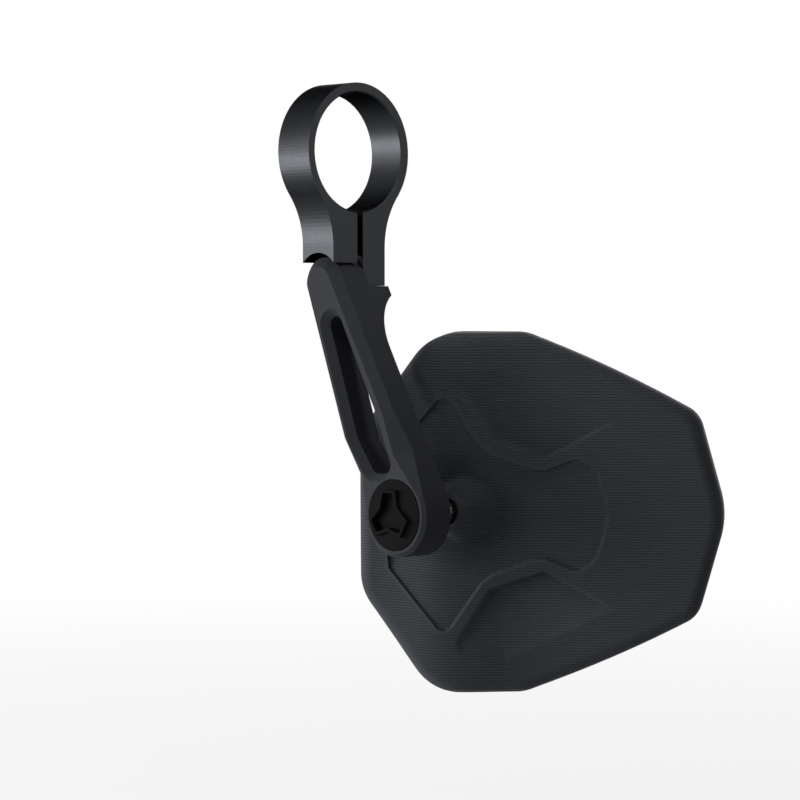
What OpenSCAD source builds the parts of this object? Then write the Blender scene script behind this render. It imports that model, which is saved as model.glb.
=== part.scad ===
// Motorcycle bar end mirror: a split ring clamps round the bar end, a machined arm hangs from it,
// and a ball joint in the foot of the arm carries the ribbed mirror head.
// Millimetres. The origin is the centre of the clamp bore. X runs along the handlebar towards
// the outside of the machine, Y to the rear, towards the rider, and Z is up.

/* [Clamp] */
// Diameter of the bore that closes on the bar end
bore_d = 34; // [30:0.5:38]
// Wall of the ring
ring_wall = 2.7; // [2.2:0.1:4]
// Width of the clamp along the handlebar
clamp_w = 12.6; // [11:0.1:16]
// Width across the two lugs
lugs_w = 20.4; // [18.5:0.1:24]
// Width of the slit between the lugs
slit_w = 2.2; // [1.2:0.1:3]
// Distance of the slit's middle behind the bore's axis
slit_y = 0.35; // [-0.5:0.05:1]
// Radius of the waist between ring and lugs
neck_r = 23.5; // [15:0.5:30]
// Distance of the clamp screw below the bore's axis
clamp_screw_drop = 24.3; // [23.5:0.1:26]
// Distance of the arm screw below the clamp screw
arm_screw_drop = 9.5; // [9:0.1:12]
// Distance of the front lug's foot below the clamp screw
front_lug_drop = 7.5; // [7.4:0.1:8]
// Distance of the rear lug's foot below the arm screw
rear_lug_drop = 4.2; // [4:0.1:6]
// Chamfer at both ends of the bore
bore_chamfer = 0.4; // [0.2:0.1:0.8]

/* [Screws] */
// Thread diameter of the clamp screw
clamp_screw_d = 5; // [4:0.5:5]
// Head diameter of the clamp screw
clamp_head_d = 8.5; // [7:0.1:8.5]
// Head height of the clamp screw
clamp_head_h = 5; // [3:0.1:5]
// Thread diameter of the arm screw
arm_screw_d = 4; // [3:0.5:4]
// Head diameter of the arm screw
arm_head_d = 7; // [6:0.1:7.4]
// Head height of the arm screw
arm_head_h = 4; // [2.5:0.1:4.5]
// Width across flats of both hexagon sockets
socket_af = 3; // [2.5:0.5:3]

/* [Arm] */
// Thickness of the arm's slab
arm_t = 11.65; // [10.5:0.05:13]
// Distance of the round top's centre below the arm screw
arm_top_drop = 3.4; // [2:0.1:4]
// Radius of the arm's round top
arm_top_r = 7.25; // [6.5:0.05:8.5]
// Distance of the boss outboard of the clamp's middle
boss_out = 30.5; // [20:0.5:40]
// Distance of the boss below the round top
boss_drop = 64.6; // [58:0.1:80]
// Radius of the boss
boss_r = 11.8; // [11.5:0.1:14]
// Chamfer round the arm's top
top_chamfer = 2.65; // [1:0.05:3.5]
// Chamfer where the arm starts to narrow
mid_chamfer = 2.3; // [1.5:0.1:3]
// Chamfer at the same place on the inboard side
mid_chamfer_in = 1.3; // [0.8:0.1:3]
// Place of those two chamfers, as the distance above the boss
mid_up = 27; // [22:0.5:32]
// Chamfer at the neck above the boss
neck_chamfer = 4; // [3:0.1:4.6]
// Place of the neck, as the distance above the boss
neck_up = 14.5; // [12:0.1:19]
// Chamfer round the boss
boss_chamfer = 1; // [0.5:0.1:1.2]
// Gap between the front lug and the arm's top
lug_gap = 1.25; // [0.5:0.05:2]
// Gap between the rear lug and the shoulder under it
shoulder_gap = 0.1; // [0.05:0.05:1]
// Height of the shoulder's lip
lip_h = 2.6; // [1.5:0.1:4]
// Step in from the rear lug's face to the lip
lip_inset = 1.1; // [0:0.1:2]
// Length of the hollow below the lip
hollow_l = 15; // [12:0.5:22]
// Step of the arm's rear face in front of the face that lies against the lug
back_step = 1.1; // [0.4:0.1:1.4]
// Chamfer of the window's rim
window_chamfer = 2.1; // [0.5:0.1:2.4]

/* [Ball joint] */
// Diameter of the ball
ball_d = 10; // [9:0.1:10.4]
// Distance of the ball's centre from the arm's rear face
ball_in = 3.35; // [3:0.05:3.7]
// Wall of the polymer sleeve round the ball
sleeve_wall = 0.9; // [0.7:0.05:1.2]
// Running clearance between ball, sleeve and seats
ball_gap = 0.06; // [0.04:0.01:0.1]
// Diameter of the stud's neck
stud_d = 5.3; // [4.5:0.1:5.6]
// Diameter of the screwed cap
cap_d = 19.5; // [19:0.1:20.6]
// Width of the groove round the cap
cap_groove = 0.25; // [0.2:0.05:0.5]
// Height of the cap's key ribs over the arm's front face
cap_proud = 2.6; // [2:0.1:3]
// Diameter of the cap's thread
cap_thread_d = 18; // [17.2:0.1:18.4]
// Depth of the key recess below the ribs
key_depth = 2.6; // [1.8:0.1:2.8]
// Reach of the three lobes of the key
key_r = 7.5; // [6.5:0.1:8.2]
// Wall of the key ribs
key_wall = 0.95; // [0.7:0.05:1.3]

/* [Head] */
// Height of the mirror head
head_h = 103.4; // [90:0.2:120]
// Length of the mirror head from its inboard side to the outboard tip
head_w = 105.2; // [96:0.2:120]
// Height of the straight inboard side
head_side_h = 46; // [36:1:60]
// Turn of the head about the vertical, away from the arm's plane
head_yaw = 35.3; // [30:0.2:42]
// Lean of the head's back upwards
head_tilt = -3.2; // [-6:0.1:6]
// Sag of the head's long axis towards the tip
head_roll = 0.3; // [-3:0.1:3]
// Distance of the stud hole inboard of the head's middle
hole_in = 25.3; // [23:0.1:31]
// Distance of the stud hole above the head's middle
hole_up = 1.8; // [0:0.1:3]
// Height of the stud hole's rim over the glass
hole_h = 18.5; // [17:0.1:20]
// Distance of the hole's rim behind the arm
hole_back = 9.65; // [8.5:0.05:12]
// Height of the housing's outboard half
flat_h = 8.5; // [7.5:0.1:10]
// Extra height of the crest beside the stud
crest_h = 5.6; // [4:0.1:7]
// Wall of the housing
shell_wall = 2.6; // [2.2:0.1:3]
// Rounding of the housing's edge
edge_round = 4; // [2:0.1:5]
// Step down into the panel on the back
panel_step = 0.9; // [0.5:0.1:1.2]
// Further hollow of the panel along its middle
panel_hollow = 1.3; // [0.5:0.1:1.8]
// Slope of the two scoops, as drop over length
scoop_slope = 0.17; // [0.08:0.01:0.2]

/* [Stud seat and glass] */
// Clearance round the stud in the housing's hole
hole_gap = 1.15; // [0.8:0.05:1.3]
// Depth of the stud hole before the insert
hole_depth = 4; // [3.5:0.1:5]
// Diameter of the moulded-in insert
insert_d = 8.8; // [8:0.1:9.2]
// Length of the insert
insert_l = 11.6; // [11:0.1:12.5]
// Diameter of the stud's spigot in the insert
spigot_d = 4.6; // [4:0.1:4.8]
// Thread diameter of the stud's end screw
end_screw_d = 3; // [2.5:0.5:3]
// Thickness of the glass
glass_t = 2; // [1.5:0.1:3]
// Thickness of the adhesive pad behind the glass
pad_t = 0.6; // [0.4:0.1:1.2]
// Step in from the housing's edge to the glass
glass_inset = 0.25; // [0.1:0.05:0.6]
// Step in from the housing's edge to the pad
pad_inset = 1; // [0.6:0.1:1.6]

/* [Hidden] */

ALUMINIUM = "#2b2c2f";
STEEL = "#4a4b4e";
BRIGHT = "#9a9da0";
POLYMER = "#d8d5c8";
PLASTIC = "#2e3033";
GLASS = "#b9c4c8";

smooth = 96;
fine = 48;
screw_gap = 0.08;   // between a screw's thread and its hole, modelled without the thread
fit_gap = 0.05;     // between pieces that are pressed or screwed together
over = 1;           // how far a cutter runs past the face it opens

// Clamp
bore_r = bore_d / 2;
ring_r = bore_r + ring_wall;
lug_y = lugs_w / 2;
neck_y = lug_y + neck_r;
neck_z = -sqrt(pow(ring_r + neck_r, 2) - neck_y * neck_y);
neck_a = atan2(neck_z, neck_y);
clamp_screw_z = -clamp_screw_drop;
arm_screw_z = clamp_screw_z - arm_screw_drop;
front_lug_z = clamp_screw_z - front_lug_drop;
rear_lug_z = arm_screw_z - rear_lug_drop;
slit_front = slit_y - slit_w / 2;
slit_rear = slit_y + slit_w / 2;
clamp_screw_r = clamp_screw_d / 2;
clamp_head_r = clamp_head_d / 2;
arm_screw_r = arm_screw_d / 2;
arm_head_r = arm_head_d / 2;
head_gap = 0.15;
lug_web = 1.1;      // wall left in front of the blind thread in the front lug

// Arm: the slab lies against the rear lug's inner face
arm_back = slit_rear;
arm_front = arm_back - arm_t;
arm_rear = arm_back - back_step;
top_z = arm_screw_z - arm_top_drop;
boss_x = boss_out;
boss_z = top_z - boss_drop;
arm_len = norm([boss_out, boss_drop]);
arm_angle = atan2(boss_out, boss_drop);
splay = asin((boss_r - arm_top_r) / arm_len);
shoulder_z = rear_lug_z - shoulder_gap;
lip_z = shoulder_z - lip_h;
lip_y = lug_y - lip_inset;
lip_out = lip_y - arm_rear;
hollow_r = (lip_out * lip_out + hollow_l * hollow_l) / (2 * lip_out);

// Ball joint
ball_r = ball_d / 2;
ball_y = arm_rear - ball_in;
sleeve_in = ball_r + ball_gap;
sleeve_out = sleeve_in + sleeve_wall;
seat_r = sleeve_out + ball_gap;
stud_r = stud_d / 2;
cap_r = cap_d / 2;
cap_thread_r = cap_thread_d / 2;
cap_flange_t = 1.3;
cap_web_t = 0.9;
cap_key_floor = arm_front - cap_proud + key_depth;
cap_inner_y = cap_key_floor + cap_web_t;
spring_t = 0.5;
spring_rise = 0.35;
front_seat_y0 = cap_inner_y + spring_t + spring_rise + fit_gap;
cap_skirt_t = 1.5;
cap_skirt_in = cap_thread_r - cap_skirt_t;
cap_end_y = ball_y - 1.2;
front_seat_y1 = cap_end_y + 0.2;
spring_in = 3.4;
spring_out = cap_skirt_in - 0.3;
seat_relief = 0.5;
mouth_y = arm_rear - 0.4;
mouth_r = sqrt(seat_r * seat_r - pow(mouth_y - ball_y, 2)) + 0.02;

// Head: the stud leaves the ball along Y and enters the housing at an angle
hole_y = arm_back + hole_back;
hole_r = stud_r + hole_gap;
insert_r = insert_d / 2;
spigot_r = spigot_d / 2;
insert_y = hole_y + hole_depth;
insert_end = insert_y + insert_l;
seat_boss_r = insert_r + 1.25;
end_screw_r = end_screw_d / 2;
washer_t = 1;
washer_r = insert_r - 0.9;
end_head_h = 2.4;
half_h = head_h / 2;
drawn_w = 105.2;    // size of the head for which its corners, panel and scoops are drawn below
drawn_h = 103.4;
wide = head_w / drawn_w;
tall = head_h / drawn_h;
head_out = 52.5 * wide;
head_in = head_w - head_out;
crest_s = -hole_in - 2.5;
crest_in = 15;
crest_out = 19;
crown = 1.6;

// Outline of the head from the tip over the top to the inboard side: s runs outboard, t up.
// Each corner is [s, t, radius]
tip = [head_out, 0, 25];
shoulder = [head_out - 8.1, 29.1 * tall, 8.5];
top_out = [-4.7 * wide, half_h, 12];
top_in = [-31.4 * wide, half_h, 16.5];
side_in = [-head_in, head_side_h / 2, 15];
corners = concat([tip, shoulder, top_out, top_in, side_in],
                 [for (c = [side_in, top_in, top_out, shoulder]) [c[0], -c[1], c[2]]]);
side_bow = 0.8;

function unit(v) = v / norm(v);
function cross2(a, b) = a[0] * b[1] - a[1] * b[0];
function flat2(c) = [c[0], c[1]];

// Points of the arc that rounds corner b between the sides to a and c
function corner_arc(a, b, c, steps) =
    let (p = flat2(b), u = unit(flat2(a) - p), v = unit(flat2(c) - p),
         half = acos(u * v) / 2, reach = b[2] / tan(half), mid = p + unit(u + v) * b[2] / sin(half),
         start = p + u * reach - mid, sweep = 180 - 2 * half)
    [for (i = [0:steps]) let (a1 = sweep * i / steps)
        mid + [start[0] * cos(a1) - start[1] * sin(a1), start[0] * sin(a1) + start[1] * cos(a1)]];

count = len(corners);
arc_steps = 8;
bow_steps = 6;
arcs = [for (i = [0:count - 1])
    corner_arc(corners[(i + count - 1) % count], corners[i], corners[(i + 1) % count], arc_steps)];

// Points that bow the long side between two corners outwards
function bowed(p, q) =
    let (out = unit([q[1] - p[1], p[0] - q[0]]))
    [for (i = [1:bow_steps - 1]) let (f = i / bow_steps) p + (q - p) * f + out * side_bow * 4 * f * (1 - f)];

function is_long(i) = i == 1 || i == count - 2;
outline = [for (i = [0:count - 1])
    each concat(arcs[i], is_long(i) ? bowed(arcs[i][arc_steps], arcs[(i + 1) % count][0]) : [])];

// Distance from point p to the outline
function segment_gap(p, a, b) =
    let (d = b - a, f = max(0, min(1, (p - a) * d / (d * d)))) norm(p - a - d * f);
function loop_gap(p, loop) =
    min([for (i = [0:len(loop) - 1]) segment_gap(p, loop[i], loop[(i + 1) % len(loop)])]);
function inside(p, loop) =
    let (n = len(loop))
    sum([for (i = [0:n - 1]) let (a = loop[i], b = loop[(i + 1) % n])
        (a[1] > p[1]) != (b[1] > p[1]) && p[0] < a[0] + (b[0] - a[0]) * (p[1] - a[1]) / (b[1] - a[1])
        ? 1 : 0]) % 2 == 1;
function sum(v) = len(v) == 0 ? 0 : v * [for (i = v) 1];

// The two sides of the outline as tables of s over t
right_side = [for (p = outline) if (p[0] > -7.5 * wide && abs(p[1]) < half_h) [p[1], p[0]]];
left_side = [for (p = outline) if (p[0] < -25 * wide && abs(p[1]) < half_h) [p[1], p[0]]];

// The mound that rises round the stud is a slightly flared post along the stud
mound_r = stud_r + 2.5;
mound_flare = 0.5;

// Height of the smooth back over the glass side, without panel or scoops
function body_height(s, t) =
    flat_h + crest_h * exp(-pow((s - crest_s) / (s < crest_s ? crest_in : crest_out), 2))
    - crown * pow(t / half_h, 2);
function rounded(h, d) = d >= edge_round ? h : h - edge_round + sqrt(d * (2 * edge_round - d));
function back_height(s, t) = rounded(body_height(s, t), loop_gap([s, t], outline));

// Panel and scoop outlines on the back, upper half, as [s, t]
function sized(path) = [for (p = path) [p[0] * wide, p[1] * tall]];
panel_half = sized([[-45.3, 12.4], [-44.5, 16], [-31.9, 31.2], [-30.8, 32.9], [-29.2, 33.6], [-27.6, 33],
              [-20.8, 22.8], [-17.6, 19.1], [-1.4, 12.8], [8.6, 16.1], [10.8, 15.7], [14.7, 12.1],
              [18.3, 0]]);
panel = concat(panel_half, [for (i = [len(panel_half) - 2:-1:0]) [panel_half[i][0], -panel_half[i][1]]]);
scoop_wall = sized([[-25.3, 41.1], [-26.6, 36.5], [-18.7, 21.4], [-15.8, 19.3], [-0.7, 15.2],
                    [20.1, 26.4]]);
scoop_edge = sized([[20.1, 26.4], [-15.8, 42], [-25.3, 41.1]]);
scoop = concat(scoop_wall, [scoop_edge[1]]);

// Depths of the scoops and the panel as the inner face follows them, carried a little past their walls
follow = 3.5;
function line_gap(p, a, b) = cross2(unit(b - a), p - a);
function scoop_fall(p) =
    scoop_slope * max(0, min(line_gap(p, scoop_edge[0], scoop_edge[1]),
                             line_gap(p, scoop_edge[1], scoop_edge[2])));
function panel_fall(s, t) =
    panel_step + panel_hollow * max(0, 1 - pow(t / 17, 2)) * max(0, min(1, (19 - s) / 24));
function near(p, loop) = inside(p, loop) || loop_gap(p, loop) < follow;
function relief_depth(s, t) =
    max(near([s, t], panel) ? panel_fall(s, t) : 0, near([s, abs(t)], scoop) ? scoop_fall([s, abs(t)]) : 0);

// Closed solid under a height over the outline, drawn in by inset and standing on the plane z = foot
function eased(f) = 0.55 * (1 - cos(180 * f)) / 2 + 0.45 * f;
function grid_point(i, j, cols, rows, inset) =
    let (t = (half_h - inset) * (2 * eased(j / rows) - 1), reach = half_h / (half_h - inset),
         left = lookup(t * reach, left_side) + inset, right = lookup(t * reach, right_side) - inset,
         f = eased(i / cols))
    [left + (right - left) * f, t];

// Height of the inner face, one wall below the finished back
function inner_height(p) = max(0.4, back_height(p[0], p[1]) - relief_depth(p[0], p[1]) - shell_wall);
function ring_of(cols, rows) = let (n = cols + 1)
    concat([for (i = [0:cols]) i], [for (j = [1:rows]) j * n + cols],
           [for (i = [cols - 1:-1:0]) rows * n + i], [for (j = [rows - 1:-1:1]) j * n]);
function grid_faces(cols, rows, first, up) =
    [for (j = [0:rows - 1]) for (i = [0:cols - 1]) each
        let (n = cols + 1, a = first + j * n + i, b = a + 1, c = a + n, d = c + 1)
        up ? [[a, c, b], [b, c, d]] : [[a, b, c], [b, d, c]]];

// The open shell in one piece: a fine grid outside, one half as fine inside, and a flat rim
module back_shell(cols, rows) {
    half_cols = cols / 2;
    half_rows = rows / 2;
    outer = [for (j = [0:rows]) for (i = [0:cols]) grid_point(i, j, cols, rows, 0)];
    inner = [for (j = [0:half_rows]) for (i = [0:half_cols])
        grid_point(i, j, half_cols, half_rows, shell_wall)];
    ring_a = ring_of(cols, rows);
    ring_b = ring_of(half_cols, half_rows);
    ma = len(ring_a);
    mb = len(ring_b);
    points = concat([for (p = outer) [p[0], p[1], back_height(p[0], p[1])]],
                    [for (p = inner) [p[0], p[1], inner_height(p)]],
                    [for (k = ring_a) [outer[k][0], outer[k][1], 0]],
                    [for (k = ring_b) [inner[k][0], inner[k][1], 0]]);
    b0 = len(outer);
    fa = b0 + len(inner);
    fb = fa + ma;
    faces = concat(
        grid_faces(cols, rows, 0, true),
        grid_faces(half_cols, half_rows, b0, false),
        [for (k = [0:ma - 1]) each let (k2 = (k + 1) % ma)
            [[ring_a[k], ring_a[k2], fa + k], [ring_a[k2], fa + k2, fa + k]]],
        [for (k = [0:mb - 1]) each let (k2 = (k + 1) % mb)
            [[b0 + ring_b[k2], b0 + ring_b[k], fb + k], [b0 + ring_b[k2], fb + k, fb + k2]]],
        [for (k = [0:mb - 1]) each let (a = fa + 2 * k, b = fa + 2 * k + 1, c = fa + (2 * k + 2) % ma,
                                        d = fb + k, e = fb + (k + 1) % mb)
            [[a, b, d], [b, e, d], [b, c, e]]]);
    polyhedron(points, faces, convexity = 6);
}

// Puts a shape modelled over the head's plane, with z towards the back, into its place
module on_head() {
    translate([boss_x, hole_y, boss_z])
        rotate([0, 0, head_yaw]) rotate([-head_tilt, 0, 0]) rotate([0, head_roll, 0])
            translate([hole_in, hole_h, -hole_up]) rotate([90, 0, 0]) children();
}

// A cylinder along the stud between two distances in Y
module on_stud(y0, y1, r, r2 = -1) {
    translate([boss_x, y0, boss_z]) rotate([-90, 0, 0])
        cylinder(h = y1 - y0, r1 = r, r2 = r2 < 0 ? r : r2, $fn = fine);
}

// A flat shape drawn in X and Z, as thick as from y0 to y1
module slab_xz(y0, y1) {
    translate([0, y1, 0]) rotate([90, 0, 0]) linear_extrude(y1 - y0) children();
}

// A flat shape drawn in Y and Z, centred on X
module slab_yz(w) {
    rotate([90, 0, 90]) translate([0, 0, -w / 2]) linear_extrude(w) children();
}

// A hole or a shank along Y at X = 0
module along_y(y0, y1, z, r) {
    translate([0, y0, z]) rotate([-90, 0, 0]) cylinder(h = y1 - y0, r = r, $fn = fine);
}

// Outline of the clamp as seen from the side: the rear lug, the waist, the ring, the other waist and
// the front lug
ring_steps = 96;
neck_steps = 14;
function arc(y, z, r, a0, a1, steps) = [for (i = [0:steps]) let (a = a0 + (a1 - a0) * i / steps)
    [y + r * cos(a), z + r * sin(a)]];
clamp_outline = concat(
    [[slit_y, rear_lug_z], [lug_y, rear_lug_z]],
    arc(neck_y, neck_z, neck_r, 180, 180 + neck_a, neck_steps),
    arc(0, 0, ring_r, neck_a + 1, 179 - neck_a, ring_steps),
    arc(-neck_y, neck_z, neck_r, -neck_a, 0, neck_steps),
    [[-lug_y, front_lug_z], [slit_y, front_lug_z]]);

// Closed solid through rings of equally many points
module loft(rings) {
    n = len(rings[0]);
    last = len(rings) - 1;
    polyhedron([for (r = rings) each r], concat(
        [[for (k = [0:n - 1]) k]],
        [for (j = [0:last - 1]) for (k = [0:n - 1]) each let (a = j * n + k, b = j * n + (k + 1) % n)
            [[a, a + n, b], [b, a + n, b + n]]],
        [[for (k = [n - 1:-1:0]) last * n + k]]), convexity = 6);
}

module clamp_ring() {
    color(ALUMINIUM) difference() {
        slab_yz(clamp_w) polygon(clamp_outline);
        rotate([0, 90, 0]) translate([0, 0, -clamp_w]) cylinder(h = 2 * clamp_w, r = bore_r, $fn = smooth);
        for (side = [-1, 1])
            rotate([0, side * 90, 0]) translate([0, 0, clamp_w / 2 - bore_chamfer])
                cylinder(h = 2 * bore_chamfer, r1 = bore_r, r2 = bore_r + 2 * bore_chamfer, $fn = smooth);
        translate([-clamp_w, slit_front, rear_lug_z - over])
            cube([2 * clamp_w, slit_w, -rear_lug_z - bore_r / 2]);
        along_y(-lug_y - over, slit_y + slit_w / 4, top_z, arm_top_r + lug_gap);
        along_y(-lug_y + lug_web, lug_y + over, clamp_screw_z, clamp_screw_r + screw_gap);
        along_y(lug_y - clamp_head_h - head_gap, lug_y + over, clamp_screw_z, clamp_head_r + head_gap);
        along_y(slit_y, lug_y + over, arm_screw_z, arm_screw_r + head_gap);
        along_y(lug_y - arm_head_h - head_gap, lug_y + over, arm_screw_z, arm_head_r + head_gap);
    }
}

// A socket head screw that enters from the rear face of the rear lug
module socket_screw(z, tip_y, r, head_r, head_h) {
    difference() {
        union() {
            along_y(tip_y, lug_y - head_h, z, r);
            along_y(lug_y - head_h - head_gap / 2, lug_y - head_gap, z, head_r);
        }
        translate([0, lug_y - head_h / 2, z]) rotate([-90, 0, 0])
            cylinder(h = head_h, d = socket_af / cos(30), $fn = 6);
    }
}

module clamp_screw() {
    color(STEEL) socket_screw(clamp_screw_z, -lug_y + lug_web + 1, clamp_screw_r, clamp_head_r, clamp_head_h);
}

arm_screw_tip = arm_front + 2.6;
module arm_screw() {
    color(STEEL) socket_screw(arm_screw_z, arm_screw_tip, arm_screw_r, arm_head_r, arm_head_h);
}

// The arm's outline round boss and top as [centre, radius, direction, chamfer], counter-clockwise.
// The knots set the chamfer along the sides, as [distance up from the boss, chamfer]
hollow_steps = 12;
top_steps = 26;
boss_steps = 40;
right_a = arm_angle + splay;
left_a = 180 + arm_angle - splay;
boss_centre = [boss_x, boss_z];
right_knots = [[neck_up, neck_chamfer], [mid_up, mid_chamfer]];
left_knots = [[mid_up, mid_chamfer_in], [neck_up, neck_chamfer]];
function dir(a) = [cos(a), sin(a)];
arm_edge = concat(
    [for (i = [0:boss_steps])
        [boss_centre, boss_r, left_a + (360 + right_a - left_a) * i / boss_steps, boss_chamfer]],
    [for (k = right_knots) [boss_centre + dir(right_a + 90) * k[0], boss_r, right_a, k[1]]],
    [for (i = [0:top_steps])
        [[0, top_z], arm_top_r, right_a + (left_a - right_a) * i / top_steps, top_chamfer]],
    [for (k = left_knots) [boss_centre + dir(left_a - 90) * k[0], boss_r, left_a, k[1]]]);

// One ring of that outline, drawn in by a share of the chamfer and as far behind the front face
function arm_ring(inset, back, y) =
    [for (e = arm_edge) let (p = e[0] + dir(e[2]) * (e[1] - inset * e[3])) [p[0], y + back * e[3], p[1]]];

// Slab with the shoulder that reaches back under the rear lug, as drawn from the side
module arm_side_profile() {
    low = boss_z - boss_r - over;
    high = top_z + arm_top_r + over;
    front = arm_front - over;
    sweep = asin(hollow_l / hollow_r);
    polygon(concat([[front, high], [front, low], [arm_rear, low]],
        arc(arm_rear + hollow_r, lip_z - hollow_l, hollow_r, 180, 180 - sweep, hollow_steps),
        [[lip_y, shoulder_z], [arm_back, shoulder_z], [arm_back, high]]));
}

// The window's round corners: centre and radius of the inner opening
window_corners = [[5.3, -49.1, 2.4], [17.1, -75.6, 4.5], [17.1, -79.6, 3.4], [22.3, -88.2, 2.55],
                  [24.6, -88.2, 2.5]];

module window_solid(y0, y1, grow0, grow1) {
    hull() for (c = window_corners)
        translate([c[0], y0, c[1]]) rotate([-90, 0, 0])
            cylinder(h = y1 - y0, r1 = c[2] + grow0, r2 = c[2] + grow1, $fn = 32);
}

module arm() {
    color(ALUMINIUM) difference() {
        intersection() {
            loft([arm_ring(0, 0, lug_y), arm_ring(0, 1, arm_front), arm_ring(1, 0, arm_front)]);
            slab_yz(4 * boss_out + 4 * boss_r) arm_side_profile();
        }
        window_solid(arm_front - over, lip_y + over, 0, 0);
        window_solid(arm_front - over, arm_front + window_chamfer, window_chamfer + over, 0);
        along_y(arm_screw_tip - 1, arm_back + over, arm_screw_z, arm_screw_r + screw_gap);
        on_stud(arm_front - over, arm_front + cap_flange_t, cap_r + cap_groove);
        on_stud(arm_front, cap_end_y + 0.3, cap_thread_r + fit_gap);
        on_stud(cap_end_y, ball_y - seat_relief, seat_r + 0.15);
        intersection() {
            translate([boss_x, ball_y, boss_z]) rotate([-90, 0, 0]) sphere(seat_r, $fn = smooth);
            on_stud(ball_y - 2 * seat_relief, mouth_y + 0.01, seat_r + over);
        }
        on_stud(mouth_y, arm_rear + over, mouth_r, mouth_r + 1.6);
    }
}

// Three-armed star of the key, drawn round the cap's middle
module key_star(lobe_r, waist_r, lobe_a) {
    polygon([for (k = [0:2]) each [for (p = [[lobe_r, 90 - lobe_a], [lobe_r, 90 + lobe_a], [waist_r, 150]])
        let (a = p[1] + 120 * k) [p[0] * cos(a), p[0] * sin(a)]]]);
}

key_waist = 4.4;
module joint_cap() {
    rib_front = arm_front - cap_proud;
    scoop_y = arm_front - 0.15;
    color("#242527") difference() {
        union() {
            on_stud(scoop_y, arm_front + cap_flange_t - fit_gap, cap_r);
            on_stud(arm_front + cap_flange_t - 0.2, cap_end_y, cap_thread_r);
            on_stud(rib_front + 1.1, scoop_y, key_waist + 0.2, cap_r);
            translate([boss_x, 0, boss_z]) slab_xz(rib_front, scoop_y + 0.1)
                key_star(key_r, key_waist, 21);
        }
        translate([boss_x, 0, boss_z]) slab_xz(rib_front - over, cap_key_floor)
            key_star(key_r - key_wall, key_waist - key_wall, 17);
        on_stud(cap_inner_y, cap_end_y + over, cap_skirt_in);
    }
}

module disc_spring() {
    color(BRIGHT) translate([boss_x, cap_inner_y + fit_gap / 2, boss_z]) rotate([-90, 0, 0])
        rotate_extrude($fn = fine)
            polygon([[spring_in, 0], [spring_out, spring_rise], [spring_out, spring_rise + spring_t],
                     [spring_in, spring_t]]);
}

module front_seat() {
    color(POLYMER) difference() {
        on_stud(front_seat_y0, front_seat_y1, cap_skirt_in - 0.1);
        translate([boss_x, ball_y, boss_z]) sphere(seat_r, $fn = smooth);
        on_stud(front_seat_y0 - over, front_seat_y1, 2.6);
    }
}

// Turns a profile, drawn with x as the radius and y as the distance behind the ball, round the stud
module round_ball() {
    translate([boss_x, ball_y, boss_z]) rotate([-90, 0, 0]) rotate_extrude($fn = smooth) children();
}

module ball_sleeve() {
    open_r = stud_r + 1.5;
    color("#c9b98c") round_ball() difference() {
        circle(sleeve_out, $fn = smooth);
        circle(sleeve_in, $fn = smooth);
        translate([-2 * sleeve_out, -2 * sleeve_out]) square([2 * sleeve_out, 4 * sleeve_out]);
        translate([0, -2 * sleeve_out]) square([3, 2 * sleeve_out]);
        square([open_r, 2 * sleeve_out]);
    }
}

module ball_stud() {
    color(BRIGHT) difference() {
        union() {
            translate([boss_x, ball_y, boss_z]) sphere(ball_r, $fn = smooth);
            on_stud(ball_y, insert_y - fit_gap, stud_r);
            on_stud(insert_y - 0.2, insert_end - 0.3, spigot_r);
        }
        on_stud(insert_end - 7.5, insert_end + over, end_screw_r + screw_gap);
    }
}

// Solid above a surface, for cutting a hollow with that surface as its floor. The surface is given
// as a grid of points, steps_a by steps_b cells large
lid_z = 30;
module above(low, steps_a, steps_b) {
    n = steps_a + 1;
    ring = ring_of(steps_a, steps_b);
    m = len(ring);
    b0 = len(low);
    mid = (low[0] + low[b0 - 1]) / 2;
    lid = [for (k = ring) [low[k][0], low[k][1], lid_z]];
    polyhedron(concat(low, lid, [[mid[0], mid[1], lid_z]]), concat(
        grid_faces(steps_a, steps_b, 0, false),
        [for (k = [0:m - 1]) each let (k2 = (k + 1) % m)
            [[ring[k2], ring[k], b0 + k], [b0 + k2, ring[k2], b0 + k], [b0 + k2, b0 + k, b0 + m]]]),
        convexity = 6);
}

module panel_cutter() {
    intersection() {
        above([for (j = [0:10]) for (i = [0:11])
            let (s = (-47 + 6.1 * i) * wide, t = (-36.5 + 7.3 * j) * tall)
            [s, t, body_height(s, t) - panel_fall(s, t)]], 11, 10);
        linear_extrude(lid_z - over) polygon(panel);
    }
}

module scoop_cutter() {
    intersection() {
        above([for (j = [0:5]) for (i = [0:8])
            let (s = (-28.45 + 6.2 * i) * wide, t = (12.9 + 6.1 * j) * tall)
            [s, t, body_height(s, t) - scoop_fall([s, t])]], 8, 5);
        linear_extrude(lid_z - over) polygon(scoop);
    }
}

module housing() {
    color(PLASTIC) difference() {
        union() {
            on_head() difference() {
                back_shell(36, 40);
                panel_cutter();
                scoop_cutter();
                mirror([0, 1, 0]) scoop_cutter();
            }
            on_stud(hole_y, insert_y + 6, mound_r, mound_r + mound_flare);
            on_stud(insert_y, insert_end, seat_boss_r, seat_boss_r - 0.65);
        }
        on_stud(hole_y - over, insert_y, hole_r);
        on_stud(insert_y - 0.01, insert_end + over, insert_r + fit_gap);
        on_stud(insert_end, insert_end + washer_t + end_head_h + 0.2, washer_r + 0.2);
    }
}

module stud_insert() {
    color("#b08d57") difference() {
        on_stud(insert_y, insert_end, insert_r);
        on_stud(insert_y - over, insert_end + over, spigot_r + fit_gap);
    }
}

module stud_washer() {
    color(BRIGHT) difference() {
        on_stud(insert_end, insert_end + washer_t, washer_r);
        on_stud(insert_end - over, insert_end + washer_t + over, end_screw_r + 0.15);
    }
}

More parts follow.
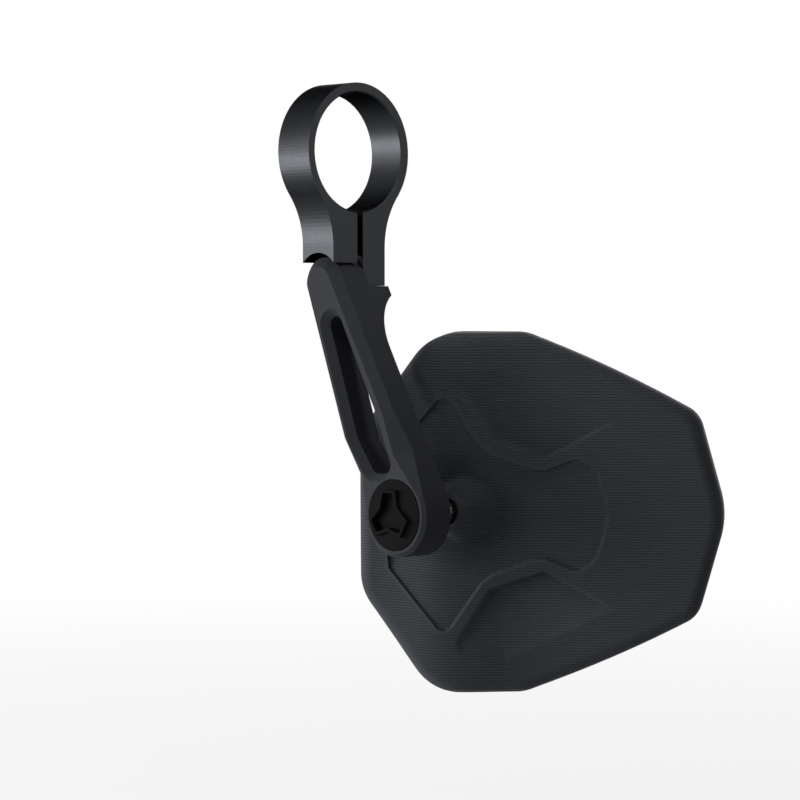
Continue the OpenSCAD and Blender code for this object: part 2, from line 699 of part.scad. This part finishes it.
module stud_screw() {
    head_y = insert_end + washer_t;
    color(STEEL) difference() {
        union() {
            on_stud(insert_end - 6.5, head_y, end_screw_r);
            on_stud(head_y, head_y + end_head_h, end_screw_r * 1.9);
        }
        translate([boss_x, head_y + 1, boss_z]) rotate([-90, 0, 0]) cylinder(h = 3, d = 2.3, $fn = 6);
    }
}

module backing_pad() {
    color("#1c1d1f") on_head() translate([0, 0, -pad_t]) linear_extrude(pad_t)
        offset(delta = -pad_inset) polygon(outline);
}

module mirror_glass() {
    color(GLASS) on_head() translate([0, 0, -pad_t - glass_t]) linear_extrude(glass_t)
        offset(delta = -glass_inset) polygon(outline);
}

clamp_ring();
clamp_screw();
arm();
arm_screw();
joint_cap();
disc_spring();
front_seat();
ball_sleeve();
ball_stud();
housing();
stud_insert();
stud_washer();
stud_screw();
backing_pad();
mirror_glass();
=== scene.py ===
import math
import bpy
import numpy as np
from mathutils import Matrix, Vector


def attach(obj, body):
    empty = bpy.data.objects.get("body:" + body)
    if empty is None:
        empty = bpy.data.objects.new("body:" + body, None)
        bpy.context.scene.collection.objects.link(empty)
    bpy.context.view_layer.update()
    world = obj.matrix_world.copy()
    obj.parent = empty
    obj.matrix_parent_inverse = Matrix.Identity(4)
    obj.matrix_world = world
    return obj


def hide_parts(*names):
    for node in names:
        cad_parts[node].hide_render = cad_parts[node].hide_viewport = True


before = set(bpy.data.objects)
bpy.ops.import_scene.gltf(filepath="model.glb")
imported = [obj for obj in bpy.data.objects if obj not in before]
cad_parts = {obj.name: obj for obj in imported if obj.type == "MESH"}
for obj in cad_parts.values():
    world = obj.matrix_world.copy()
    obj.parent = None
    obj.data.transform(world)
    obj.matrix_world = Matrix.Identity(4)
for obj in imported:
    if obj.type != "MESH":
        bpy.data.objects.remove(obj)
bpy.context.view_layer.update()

# Sizes of the object are in millimetres. On the head, s runs outboard, t runs up and h is the
# height above the flat glass side, towards the arm

# Where the stud enters the head, and how the head is turned, as in the CAD
BOSS_X = 30.5
BOSS_Z = -101.8
HOLE_Y = 11.1
HOLE_IN = 25.3
HOLE_UP = 1.8
HOLE_H = 18.5
HOLE_R = 3.8
YAW = math.radians(35.3)
TILT = math.radians(-3.2)
ROLL = math.radians(0.3)

# Body as in the CAD: half height, flat part, crest across the back, crown, rounded edge and wall
HALF_H = 51.7
FLAT_H = 8.5
CREST_H = 5.6
CREST_S = -27.8
CREST_IN = 15.0
CREST_OUT = 19.0
CROWN = 1.6
EDGE = 4.0
WALL = 2.6
RIM_CENTRE = (-2.0, 0.0)

# Outline as in the CAD, from the tip over the top to the inboard side, as [s, t, radius]. Its long
# slanting sides bow out, and SIDE_SPLIT parts its inboard points from its outboard ones
CORNERS = [[52.5, 0, 25], [44.4, 29.1, 8.5], [-4.7, HALF_H, 12], [-31.4, HALF_H, 16.5], [-52.7, 23, 15]]
SIDE_BOW = 0.8
SIDE_SPLIT = -15
ARC_STEPS = 10

# Sunk panel, read from the photograph: its upper half from the inboard side to the tip, its depth,
# the width of its steep wall, and the trough along its middle
PANEL_HALF = [[-44.1, 12.6], [-43.8, 16], [-30.6, 31.2], [-29.2, 32.9], [-27, 33.6], [-25.1, 32.7],
              [-16.4, 19.8], [-13.4, 17.4], [-1.6, 13.2], [1.4, 12.9], [9, 16], [11.2, 16.2],
              [14.4, 14.2], [16.5, 11.6], [18.2, 6], [19.2, 0]]
PANEL = np.array(PANEL_HALF + [[s, -t] for s, t in PANEL_HALF[-2::-1]])
PANEL_STEP = 0.9
PANEL_WALL = 0.8
PANEL_HOLLOW = 1.3
TROUGH_HALF = 17
TROUGH_END = 19
TROUGH_RUN = 24

# Upper scoop, read from the photograph: its walls with the width of each one's slope, the edge
# where it fades out, its depth and how fast it gets there
SCOOP_WALL = np.array([[-23.3, 40.8], [-24.5, 36.4], [-14.6, 20.9], [0.4, 15.9], [3, 16.5], [21.5, 26.5]])
SCOOP_SLOPES = (2.6, 3.0, 2.0, 1.2, 1.2)
SCOOP_EDGE = np.array([[21.5, 26.5], [-10, 42], [-23.3, 40.8]])
SCOOP_DEPTH = 3.2
SCOOP_RUN = 13

# Mound round the stud's hole: its top's radius, how far it lies below the collar, its slope on the
# outboard side and what is added inboard, and the blend into the body
MOUND_R = 4.7
MOUND_DROP = 0.12
MOUND_SLOPE = 1.15
MOUND_LEAN = 1.6
BLEND = 1.6
BLEND_LEAST = 3

# Collar on the mound: its radius, how far the back reaches under it, and its profile as
# [radius, depth behind its mouth]
COLLAR_R = 4.55
COLLAR_LAP = 0.25
COLLAR_TURNS = 96
COLLAR_PROFILE = [[HOLE_R, 4.0], [HOLE_R, 0.2], [HOLE_R + 0.06, 0.06], [HOLE_R + 0.2, 0],
                  [COLLAR_R - 0.15, 0], [COLLAR_R, 0.05], [COLLAR_R + 0.1, 0.2], [COLLAR_R + 0.1, 1.2]]

# Ribs: pitch, depth, start and end of the crest as shares of the pitch, bend round the stud, and
# the widths over which they fade out at the panel's wall, the mound and the edge
RIB = 0.79
RIB_DEPTH = 0.19
RIB_CREST = (0.27, 0.73)
RIB_BEND = 0.3
RIB_BEND_R = 12.0
PANEL_CALM = 0.85
PANEL_FADE = 0.6
MOUND_FADE = 0.5
EDGE_FADE = 0.6

# Mesh of the back: its columns, how far they crowd towards the sides, and the extra rows and
# columns on the rounded edge
COLUMNS = 440
CROWD = 0.25
EDGE_ROWS = (0, 0.03, 0.12, 0.3)
EDGE_COLUMNS = (0, 0.0003, 0.0012, 0.0027)

# Camera at the photograph's place, in metres, and the point that the lamps look at
CAMERA_AT = Vector((0.5789, -0.5562, -0.0476))
CAMERA_BACK = Vector((0.7068, -0.7068, 0.0288)).normalized()
CAMERA_SIDE = Vector((0.7071, 0.7071, 0.0))
LENS = 126
LAMP_TARGET = Vector((0.03, 0.02, -0.08))

# Floor, and the distances in metres from the frame's origin where its shadow starts to fade and
# is gone
FLOOR_Z = -240
FLOOR_HALF = 9000
SHADOW_NEAR = 0.35
SHADOW_FAR = 1.2
FLOOR_GLOW = 0.8
WORLD_LIGHT = 0.07

PRINCIPLED = "Principled BSDF"


# Shader nodes that several materials share
def map_range(tree, value, source, result):
    node = tree.nodes.new("ShaderNodeMapRange")
    for name, number in zip(("From Min", "From Max", "To Min", "To Max"), source + result):
        node.inputs[name].default_value = number
    tree.links.new(value, node.inputs["Value"])
    return node.outputs["Result"]


def calculate(tree, operation, *values):
    node = tree.nodes.new("ShaderNodeMath")
    node.operation = operation
    for socket, value in zip(node.inputs, values):
        if isinstance(value, (int, float)):
            socket.default_value = value
        else:
            tree.links.new(value, socket)
    return node.outputs[0]


def object_noise(tree, scale, detail):
    coord = tree.nodes.new("ShaderNodeTexCoord")
    noise = tree.nodes.new("ShaderNodeTexNoise")
    noise.inputs["Scale"].default_value = scale
    noise.inputs["Detail"].default_value = detail
    tree.links.new(coord.outputs["Object"], noise.inputs["Vector"])
    return noise.outputs["Fac"]


# Materials
def material(name, colour, rough, metal=0.0, specular=0.5):
    made = bpy.data.materials.new(name)
    made.use_nodes = True
    shader = made.node_tree.nodes[PRINCIPLED]
    shader.inputs["Base Color"].default_value = (*colour, 1)
    shader.inputs["Roughness"].default_value = rough
    shader.inputs["Metallic"].default_value = metal
    shader.inputs["Specular IOR Level"].default_value = specular
    return made


# Fine grain of a moulded or blasted surface
def grain(made, scale, strength):
    tree = made.node_tree
    bump = tree.nodes.new("ShaderNodeBump")
    bump.inputs["Strength"].default_value = strength
    bump.inputs["Distance"].default_value = 0.0001
    tree.links.new(object_noise(tree, scale, 3), bump.inputs["Height"])
    tree.links.new(bump.outputs["Normal"], tree.nodes[PRINCIPLED].inputs["Normal"])


# Roughness that wanders between two values
def uneven(made, scale, low, high):
    tree = made.node_tree
    rough = map_range(tree, object_noise(tree, scale, 4), (0.3, 0.7), (low, high))
    tree.links.new(rough, tree.nodes[PRINCIPLED].inputs["Roughness"])


# Only faces across the axis stay a mirror, and those along it are a pale ground edge
def ground_edge(made, axis, colour, rough):
    tree = made.node_tree
    shader = tree.nodes[PRINCIPLED]
    coord = tree.nodes.new("ShaderNodeTexCoord")
    along = tree.nodes.new("ShaderNodeVectorMath")
    along.operation = "DOT_PRODUCT"
    along.inputs[1].default_value = tuple(axis)
    tree.links.new(coord.outputs["Normal"], along.inputs[0])
    flat = calculate(tree, "GREATER_THAN", calculate(tree, "ABSOLUTE", along.outputs["Value"]), 0.5)
    tint = tree.nodes.new("ShaderNodeMixRGB")
    tint.inputs[1].default_value = (*colour, 1)
    tint.inputs[2].default_value = shader.inputs["Base Color"].default_value
    tree.links.new(flat, tint.inputs[0])
    tree.links.new(tint.outputs[0], shader.inputs["Base Color"])
    mirror_rough = shader.inputs["Roughness"].default_value
    tree.links.new(map_range(tree, flat, (0, 1), (rough, mirror_rough)), shader.inputs["Roughness"])
    tree.links.new(flat, shader.inputs["Metallic"])


plastic = material("housing_plastic", (0.0274, 0.0297, 0.0344), 0.5, 0, 0.05)
grain(plastic, 2500, 0.15)
uneven(plastic, 250, 0.46, 0.54)

clamp_black = material("clamp_black", (0.0305, 0.0318, 0.0342), 0.36, 1.0)
clamp_black.node_tree.nodes[PRINCIPLED].inputs["Specular Tint"].default_value = (0.09, 0.093, 0.097, 1)
uneven(clamp_black, 300, 0.335, 0.385)

arm_black = material("arm_black", (0.0218, 0.0228, 0.0258), 0.5, 0, 0.01)
grain(arm_black, 4000, 0.25)
uneven(arm_black, 300, 0.46, 0.54)

cap_black = material("cap_black", (0.0065, 0.0067, 0.007), 0.5, 0, 0.0)
grain(cap_black, 3500, 0.2)
uneven(cap_black, 400, 0.44, 0.56)

screw_steel = material("screw_steel", (0.02, 0.02, 0.021), 0.35)
uneven(screw_steel, 900, 0.29, 0.41)

stud_steel = material("stud_steel", (0.35, 0.35, 0.36), 0.3, 1.0)
uneven(stud_steel, 900, 0.25, 0.35)

spring_steel = material("spring_steel", (0.5, 0.5, 0.51), 0.3, 1.0)
uneven(spring_steel, 900, 0.25, 0.35)

seat_polymer = material("seat_polymer", (0.6, 0.57, 0.5), 0.45)
grain(seat_polymer, 3000, 0.1)
uneven(seat_polymer, 600, 0.4, 0.5)

brass = material("insert_brass", (0.45, 0.32, 0.12), 0.35, 1.0)
uneven(brass, 900, 0.3, 0.4)

foam = material("pad_foam", (0.012, 0.012, 0.013), 0.9)
grain(foam, 3000, 0.6)
uneven(foam, 1500, 0.8, 1.0)

silver = material("mirror", (0.86, 0.88, 0.89), 0.03, 1.0)

NODE_MATERIALS = {
    "clamp_ring": clamp_black, "clamp_screw": screw_steel, "arm": arm_black,
    "arm_screw": screw_steel, "joint_cap": cap_black, "disc_spring": spring_steel,
    "front_seat": seat_polymer, "ball_sleeve": seat_polymer, "ball_stud": stud_steel,
    "housing": plastic, "stud_insert": brass, "stud_washer": spring_steel,
    "stud_screw": screw_steel, "backing_pad": foam, "mirror_glass": silver,
}
for node, finish in NODE_MATERIALS.items():
    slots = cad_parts[node].data.materials
    slots.clear()
    slots.append(finish)


# Outline of the head
def rounded_corner(before, corner, after):
    radius = corner[2]
    p = np.array(corner[:2], float)
    u = np.array(before[:2]) - p
    v = np.array(after[:2]) - p
    u /= np.linalg.norm(u)
    v /= np.linalg.norm(v)
    half = math.acos(float(u @ v)) / 2
    middle = p + (u + v) / np.linalg.norm(u + v) * radius / math.sin(half)
    x, y = p + u * radius / math.tan(half) - middle
    arc = []
    for i in range(ARC_STEPS + 1):
        turn = (math.pi - 2 * half) * i / ARC_STEPS
        cosine = math.cos(turn)
        sine = math.sin(turn)
        arc.append(middle + [x * cosine - y * sine, x * sine + y * cosine])
    return arc


def head_outline():
    corners = CORNERS + [[s, -t, radius] for s, t, radius in CORNERS[:0:-1]]
    n = len(corners)
    arcs = [rounded_corner(corners[i - 1], corners[i], corners[(i + 1) % n]) for i in range(n)]
    shares = np.linspace(0, 1, ARC_STEPS + 1)[1:-1]
    points = []
    for i in range(n):
        points += arcs[i]
        if i in (1, n - 2):
            start = arcs[i][-1]
            along = arcs[(i + 1) % n][0] - start
            out = np.array([along[1], -along[0]]) / np.linalg.norm(along)
            points += [start + along * f + out * 4 * SIDE_BOW * f * (1 - f) for f in shares]
    return np.array(points)


OUTLINE = head_outline()


# Distances and heights on the head, for arrays of s and t
def closed(loop):
    return np.vstack([loop, loop[:1]])


def path_gap(s, t, path):
    best = np.full(s.shape, 1e9)
    for a, b in zip(path[:-1], path[1:]):
        d = b - a
        f = np.clip(((s - a[0]) * d[0] + (t - a[1]) * d[1]) / (d @ d), 0, 1)
        best = np.minimum(best, np.hypot(s - a[0] - d[0] * f, t - a[1] - d[1] * f))
    return best


def line_gap(s, t, a, b):
    d = (b - a) / np.linalg.norm(b - a)
    return d[0] * (t - a[1]) - d[1] * (s - a[0])


def inside(s, t, loop):
    hit = np.zeros(s.shape, bool)
    for a, b in zip(loop, np.roll(loop, -1, axis=0)):
        if a[1] != b[1]:
            cross = a[0] + (b[0] - a[0]) * (t - a[1]) / (b[1] - a[1])
            hit ^= ((a[1] > t) != (b[1] > t)) & (s < cross)
    return hit


def ease(x):
    x = np.clip(x, 0, 1)
    return x * x * (3 - 2 * x)


def body_height(s, t):
    width = np.where(s < CREST_S, CREST_IN, CREST_OUT)
    return FLAT_H + CREST_H * np.exp(-((s - CREST_S) / width) ** 2) - CROWN * (t / HALF_H) ** 2


# How far the panel and the upper scoop sink below the body
def panel_fall(s, t):
    gap = np.where(inside(s, t, PANEL), path_gap(s, t, closed(PANEL)), 0)
    trough = np.clip(1 - (t / TROUGH_HALF) ** 2, 0, None) * np.clip((TROUGH_END - s) / TROUGH_RUN, 0, 1)
    return (PANEL_STEP + PANEL_HOLLOW * trough) * ease(gap / PANEL_WALL)


def scoop_fall(s, t):
    outer, corner, inner = SCOOP_EDGE
    inward = np.minimum(line_gap(s, t, outer, corner), line_gap(s, t, corner, inner))
    depth = SCOOP_DEPTH * (1 - np.exp(-np.clip(inward, 0, None) / SCOOP_RUN))
    flank = np.minimum.reduce([path_gap(s, t, SCOOP_WALL[i:i + 2]) / width
                               for i, width in enumerate(SCOOP_SLOPES)])
    return np.where(inside(s, t, np.vstack([SCOOP_WALL, corner])), depth * ease(flank), 0)


# Distance from the stud's axis, square to it, and the cosine of the angle round it from outboard
def stud_polar(s, t):
    u = (s + HOLE_IN) / math.cos(YAW)
    v = t - HOLE_UP
    rho = np.hypot(u, v)
    return rho, u / np.maximum(rho, 1e-6)


def mound_height(s, t):
    rho, outboard = stud_polar(s, t)
    top = HOLE_H - MOUND_DROP + np.minimum(rho, MOUND_R) * outboard * math.sin(YAW)
    slope = MOUND_SLOPE + MOUND_LEAN * (1 - outboard) / 2
    return top - slope * np.clip(rho - MOUND_R, 0, None)


# Height of the ribbed back, from the distance to the outline and each row's place on its rib
def back_height(s, t, gap, lift):
    edge = np.clip(gap, 0, EDGE)
    body = body_height(s, t) - EDGE + np.sqrt(edge * (2 * EDGE - edge))
    body -= panel_fall(s, t) + scoop_fall(s, np.abs(t))
    mound = mound_height(s, t)
    apart = body - mound
    h = 0.5 * (body + mound + np.sqrt(apart ** 2 + BLEND ** 2))
    h -= BLEND ** 2 / 4 / np.maximum(np.abs(apart), BLEND_LEAST)
    rho, _ = stud_polar(s, t)
    calm = 1 - PANEL_CALM * np.exp(-(path_gap(s, t, closed(PANEL)) / PANEL_FADE) ** 2)
    return h + lift[:, None] * ease((rho - MOUND_R) / MOUND_FADE) * ease(gap / EDGE_FADE) * calm


# Points [s, t, h] on the head to places in the frame
def on_head(points):
    p = np.asarray(points, float)
    q = np.stack([p[..., 0] + HOLE_IN, HOLE_H - p[..., 2], p[..., 1] - HOLE_UP], axis=-1)
    turned = Matrix.Rotation(YAW, 3, "Z") @ Matrix.Rotation(-TILT, 3, "X") @ Matrix.Rotation(ROLL, 3, "Y")
    return q @ np.array(turned).T + np.array([BOSS_X, HOLE_Y, BOSS_Z])


# Pieces
def new_object(name, verts, faces, finish, smooth=False):
    mesh = bpy.data.meshes.new(name)
    mesh.from_pydata((np.asarray(verts) * 0.001).tolist(), [], faces)
    mesh.materials.append(finish)
    mesh.polygons.foreach_set("use_smooth", [smooth] * len(mesh.polygons))
    mesh.update()
    obj = bpy.data.objects.new(name, mesh)
    bpy.context.scene.collection.objects.link(obj)
    return obj


def housing_piece(name, verts, faces, smooth=False):
    obj = new_object(name, verts, faces, plastic, smooth)
    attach(obj, "head")
    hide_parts("housing")


# Rows of the back's mesh from bottom to top, and the height of each one against the ribs' crests
def rib_rows():
    ribs = int(2 * (HALF_H - EDGE_FADE) / RIB)
    first = -ribs * RIB / 2
    rows = []
    lift = []
    for k in range(ribs):
        rows += [first + RIB * (k + f) for f in (0, *RIB_CREST)]
        lift += [-RIB_DEPTH, 0, 0]
    rows.append(first + RIB * ribs)
    lift.append(-RIB_DEPTH)
    ends = [HALF_H - gap for gap in EDGE_ROWS]
    level = [0] * len(ends)
    return np.array([-t for t in ends] + rows + ends[::-1]), np.array(level + lift + level)


# Place of each column as a share of its row's length
def column_shares():
    start = np.array(EDGE_COLUMNS)
    f = np.concatenate([start, np.linspace(0, 1, COLUMNS + 1)[1:-1], 1 - start[::-1]])
    return CROWD * (1 - np.cos(np.pi * f)) / 2 + (1 - CROWD) * f


# Where each row meets one side of the outline
def side_at(rows, side):
    side = side[np.argsort(side[:, 1])]
    return np.interp(rows, side[:, 1], side[:, 0])


# Grid of points [s, t, h] over the whole back
def back_grid():
    rows, lift = rib_rows()
    outboard = side_at(rows, OUTLINE[OUTLINE[:, 0] > SIDE_SPLIT])
    inboard = side_at(rows, OUTLINE[OUTLINE[:, 0] < SIDE_SPLIT])
    shares = column_shares()
    s = inboard[:, None] + (outboard - inboard)[:, None] * shares[None, :]
    straight = np.repeat(rows[:, None], len(shares), axis=1)
    near = (s + HOLE_IN) ** 2 + (straight - HOLE_UP) ** 2
    t = straight + RIB_BEND * (straight - HOLE_UP) * np.exp(-near / RIB_BEND_R ** 2)
    gap = path_gap(s, t, closed(OUTLINE))
    gap[0, :] = gap[-1, :] = 0
    gap[:, 0] = gap[:, -1] = 0
    return np.stack([s, t, back_height(s, t, gap, lift)], axis=-1)


# The back in two pieces, open where the collar is
def add_back(grid):
    n_rows, n_columns, _ = grid.shape
    rho, _ = stud_polar(grid[..., 0], grid[..., 1])
    nearest = np.minimum.reduce([rho[:-1, :-1], rho[1:, :-1], rho[:-1, 1:], rho[1:, 1:]])
    keep = nearest > COLLAR_R - COLLAR_LAP
    index = np.arange(n_rows * n_columns).reshape(n_rows, n_columns)
    quads = np.stack([index[:-1, :-1], index[:-1, 1:], index[1:, 1:], index[1:, :-1]], axis=-1)[keep]
    band = np.repeat(np.arange(n_rows - 1)[:, None], n_columns - 1, axis=1)[keep]
    lower = band < n_rows // 2
    points = on_head(grid.reshape(-1, 3))
    for name, part in (("ribbed_back_lower", quads[lower]), ("ribbed_back_upper", quads[~lower])):
        used, faces = np.unique(part, return_inverse=True)
        housing_piece(name, points[used], faces.reshape(-1, 4).tolist())


# Wall from the edge of the back down to the glass side, and the flat rim there
def add_edge(grid):
    top = np.concatenate([grid[0, :], grid[1:, -1], grid[-1, -2::-1], grid[-2:0:-1, 0]])
    foot = top * [1, 1, 0]
    inner = foot.copy()
    inward = np.array(RIM_CENTRE) - inner[:, :2]
    inner[:, :2] += inward / np.linalg.norm(inward, axis=1)[:, None] * WALL
    n = len(top)
    this = np.arange(n)
    after = (this + 1) % n
    wall = np.stack([after, this, n + this, n + after], axis=-1)
    points = on_head(np.vstack([top, foot, inner]))
    housing_piece("housing_edge", points, np.vstack([wall, wall + n]).tolist())


# Smooth collar round the stud's hole, turned about the stud
def add_collar():
    verts = []
    faces = []
    for j, (radius, depth) in enumerate(COLLAR_PROFILE):
        for i in range(COLLAR_TURNS):
            a = 2 * math.pi * i / COLLAR_TURNS
            verts.append([BOSS_X + radius * math.cos(a), HOLE_Y + depth, BOSS_Z + radius * math.sin(a)])
            if j:
                after = (i + 1) % COLLAR_TURNS
                ring = j * COLLAR_TURNS
                last = ring - COLLAR_TURNS
                faces.append([last + i, last + after, ring + after, ring + i])
    housing_piece("stud_collar", verts, faces, smooth=True)


back = back_grid()
add_back(back)
add_edge(back)
add_collar()

# The glass is a mirror on the faces across its thickness
glass_axis = on_head([0, 0, 1]) - on_head([0, 0, 0])
ground_edge(silver, glass_axis, (0.6, 0.65, 0.65), 0.25)

# Camera
camera_right = (CAMERA_SIDE - CAMERA_BACK * CAMERA_SIDE.dot(CAMERA_BACK)).normalized()
camera_up = CAMERA_BACK.cross(camera_right)
axes = Matrix((camera_right, camera_up, CAMERA_BACK)).transposed()

cam_data = bpy.data.cameras.new("camera")
cam_data.lens = LENS
cam_data.sensor_width = 36
cam_data.clip_start = 0.01
cam_data.clip_end = 50
cam = bpy.data.objects.new("camera", cam_data)
bpy.context.scene.collection.objects.link(cam)
cam.matrix_world = Matrix.Translation(CAMERA_AT) @ axes.to_4x4()
bpy.context.scene.camera = cam

bpy.context.scene.view_settings.view_transform = "Standard"


# Studio. Its white is for the camera and for reflections, and adds little light to matt surfaces
def see_white(tree):
    path = tree.nodes.new("ShaderNodeLightPath")
    seen = calculate(tree, "MAXIMUM", path.outputs["Is Camera Ray"], path.outputs["Is Glossy Ray"])
    return calculate(tree, "MAXIMUM", seen, path.outputs["Is Transmission Ray"])


def white_background(tree, strength):
    node = tree.nodes.new("ShaderNodeBackground")
    node.inputs["Color"].default_value = (1, 1, 1, 1)
    node.inputs["Strength"].default_value = strength
    return node.outputs[0]


# Mixes two shaders into the output of a world or a material
def mix_out(tree, share, first, second, output):
    mix = tree.nodes.new("ShaderNodeMixShader")
    out = tree.nodes.new(output)
    tree.links.new(share, mix.inputs[0])
    tree.links.new(first, mix.inputs[1])
    tree.links.new(second, mix.inputs[2])
    tree.links.new(mix.outputs[0], out.inputs[0])


def make_world():
    world = bpy.data.worlds.new("studio")
    bpy.context.scene.world = world
    world.use_nodes = True
    tree = world.node_tree
    tree.nodes.clear()
    faint = white_background(tree, WORLD_LIGHT)
    white = white_background(tree, 1.0)
    mix_out(tree, see_white(tree), faint, white, "ShaderNodeOutputWorld")


# The floor shows a soft shadow near the object and turns into the white backdrop farther away
def floor_material():
    made = bpy.data.materials.new("pale_floor")
    made.use_nodes = True
    tree = made.node_tree
    tree.nodes.clear()
    diffuse = tree.nodes.new("ShaderNodeBsdfDiffuse")
    diffuse.inputs["Color"].default_value = (0.8, 0.8, 0.8, 1)
    glow = tree.nodes.new("ShaderNodeEmission")
    glow.inputs["Strength"].default_value = 1.0
    place = tree.nodes.new("ShaderNodeTexCoord")
    distance = tree.nodes.new("ShaderNodeVectorMath")
    distance.operation = "LENGTH"
    tree.links.new(place.outputs["Object"], distance.inputs[0])
    fade = map_range(tree, distance.outputs["Value"], (SHADOW_NEAR, SHADOW_FAR), (FLOOR_GLOW, 1.0))
    share = calculate(tree, "MULTIPLY", see_white(tree), fade)
    mix_out(tree, share, diffuse.outputs[0], glow.outputs[0], "ShaderNodeOutputMaterial")
    return made


make_world()
square = [[s * FLOOR_HALF, t * FLOOR_HALF, FLOOR_Z] for s, t in ((-1, -1), (1, -1), (1, 1), (-1, 1))]
ground = new_object("floor", square, [[0, 1, 2, 3]], floor_material())


# Each lamp stands beside, above and in front of the target as the camera sees it, in metres, and
# looks at the target or a little above it
def lamp(name, side, height, front, size, watts, spread=180, aim_up=0.0):
    data = bpy.data.lights.new(name, "AREA")
    data.shape = "RECTANGLE"
    data.size, data.size_y = size
    data.energy = watts
    data.spread = math.radians(spread)
    obj = bpy.data.objects.new(name, data)
    bpy.context.scene.collection.objects.link(obj)
    obj.location = LAMP_TARGET + camera_right * side + Vector((0, 0, 1)) * height + CAMERA_BACK * front
    aim = LAMP_TARGET + Vector((0, 0, aim_up)) - obj.location
    obj.rotation_euler = aim.to_track_quat("-Z", "Y").to_euler()


lamp("front_left", -0.85, 0.12, 1.0, (0.35, 0.35), 6.2)
lamp("left", -1.2, 0.2, 0.42, (0.4, 0.4), 10.5)
lamp("above", -0.4, 1.3, 0.35, (0.9, 0.6), 7)
lamp("left_strip", -0.7, -0.045, 0.0, (0.6, 0.2), 4)
lamp("right_high", 0.3, 0.3, 0.1, (0.15, 0.15), 0.055, spread=25, aim_up=0.1)
